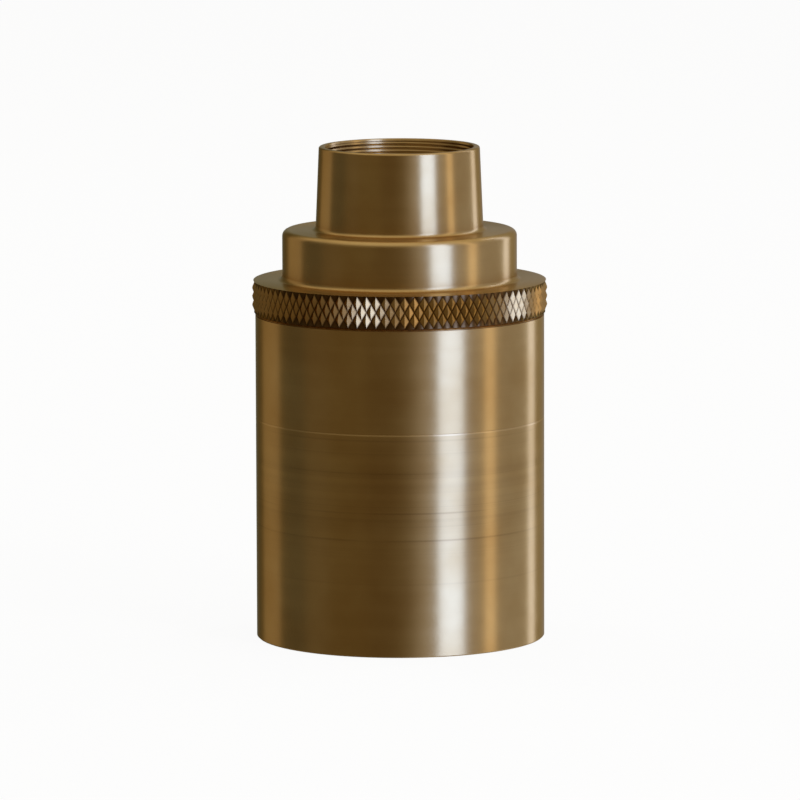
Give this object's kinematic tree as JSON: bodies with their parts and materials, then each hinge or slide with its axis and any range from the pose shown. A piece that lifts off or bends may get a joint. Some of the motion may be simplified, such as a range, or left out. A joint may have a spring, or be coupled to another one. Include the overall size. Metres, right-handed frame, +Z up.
{
  "type": "lamp holder",
  "caption": "Turned brass lamp holder: knurled screw cap with threaded neck, plain two-part case and porcelain insert with screw shell and sprung centre contact.",
  "frame": {"origin": "on the axis in the plane of the skirt's open rim, on which the holder stands", "axes": "+Z up the axis through the neck; +Y towards the neutral and earth terminals"},
  "size_m": [0.038, 0.038, 0.0635],
  "materials": {
    "case_brass": "lathe-turned antique brass under satin lacquer",
    "contact_brass": "plain pressed and turned brass",
    "zinc_steel": "zinc plated",
    "spring_steel": "drawn wire",
    "porcelain": "thin white glaze",
    "fibre": "vulcanised fibre, smooth",
    "rubber": "matt black"
  },
  "bodies": {
    "insert": {"hollow_bolt": "zinc_steel", "bolt_locknut": "zinc_steel", "upper_thrust_washer": "zinc_steel", "lower_thrust_washer": "zinc_steel", "cord_grip_ring": "rubber", "mounting_bridge": "zinc_steel", "bridge_screws": "zinc_steel", "bridge_nuts": "zinc_steel", "porcelain_insert": "porcelain", "screw_shell": "contact_brass", "insulating_disc": "fibre", "contact_spring": "spring_steel", "live_strip": "contact_brass", "live_rivets": "contact_brass", "neutral_strip": "contact_brass", "neutral_rivets": "contact_brass"},
    "cap": {"cap": "case_brass"},
    "sleeve": {"upper_sleeve": "case_brass"},
    "liner": {"insulating_liner": "fibre"},
    "skirt": {"lower_skirt": "case_brass"},
    "grip_washer": {"cord_grip_washer": "zinc_steel"},
    "grip_nut": {"cord_grip_nut": "contact_brass"},
    "earth_plate": {"earth_clamp_plate": "zinc_steel"},
    "earth_screw": {"earth_screw": "zinc_steel"},
    "live_plate": {"live_clamp_plate": "contact_brass"},
    "live_screw": {"live_screw": "contact_brass"},
    "neutral_plate": {"neutral_clamp_plate": "contact_brass"},
    "neutral_screw": {"neutral_screw": "contact_brass"},
    "contact": {"centre_contact": "contact_brass"}
  },
  "joints": [
    {"name": "cap_turn", "type": "hinge", "parent": "insert", "child": "cap", "pos_m": [0, 0, 0.0514], "axis": [0, 0, 1], "range_deg": [0, 972]},
    {"name": "sleeve_drop", "type": "slide", "parent": "insert", "child": "sleeve", "axis": [0, 0, -1], "range_m": [0, 0.0027]},
    {"name": "liner_drop", "type": "slide", "parent": "sleeve", "child": "liner", "axis": [0, 0, -1], "range_m": [0, 0.0042]},
    {"name": "skirt_turn", "type": "hinge", "parent": "liner", "child": "skirt", "pos_m": [0, 0, 0.0286], "axis": [0, 0, -1], "range_deg": [0, 1512]},
    {"name": "contact_press", "type": "slide", "parent": "insert", "child": "contact", "axis": [0, 0, 1], "range_m": [0, 0.0016], "stiffness_N_per_m": 1500, "springref_m": -0.001, "deforming": ["contact_spring"]},
    {"name": "grip_washer_lift", "type": "slide", "parent": "insert", "child": "grip_washer", "axis": [0, 0, 1], "range_m": [0, 0.001]},
    {"name": "grip_nut_turn", "type": "hinge", "parent": "grip_washer", "child": "grip_nut", "pos_m": [0, 0, 0.05525], "axis": [0, 0, 1], "range_deg": [0, 360]},
    {"name": "earth_plate_lift", "type": "slide", "parent": "insert", "child": "earth_plate", "axis": [0, 1, 0], "range_m": [0, 0.0014]},
    {"name": "earth_screw_turn", "type": "hinge", "parent": "earth_plate", "child": "earth_screw", "pos_m": [0, 0.0094, 0.04625], "axis": [0, 1, 0], "range_deg": [0, 1008]},
    {"name": "live_plate_lift", "type": "slide", "parent": "insert", "child": "live_plate", "axis": [0, -1, 0], "range_m": [0, 0.0016]},
    {"name": "live_screw_turn", "type": "hinge", "parent": "live_plate", "child": "live_screw", "pos_m": [0, -0.0102, 0.0384], "axis": [0, -1, 0], "range_deg": [0, 1152]},
    {"name": "neutral_plate_lift", "type": "slide", "parent": "insert", "child": "neutral_plate", "axis": [0, 1, 0], "range_m": [0, 0.0016]},
    {"name": "neutral_screw_turn", "type": "hinge", "parent": "neutral_plate", "child": "neutral_screw", "pos_m": [0, 0.0102, 0.0384], "axis": [0, 1, 0], "range_deg": [0, 1152]}
  ],
  "couplings": [
    {"joint": "sleeve_drop", "follows": "cap_turn", "m_per_rad": 0.00015915},
    {"joint": "liner_drop", "follows": "skirt_turn", "m_per_rad": 0.00015915},
    {"joint": "grip_nut_turn", "follows": "grip_washer_lift", "rad_per_m": 6283.1},
    {"joint": "earth_screw_turn", "follows": "earth_plate_lift", "rad_per_m": 12566},
    {"joint": "live_screw_turn", "follows": "live_plate_lift", "rad_per_m": 12566},
    {"joint": "neutral_screw_turn", "follows": "neutral_plate_lift", "rad_per_m": 12566}
  ]
}
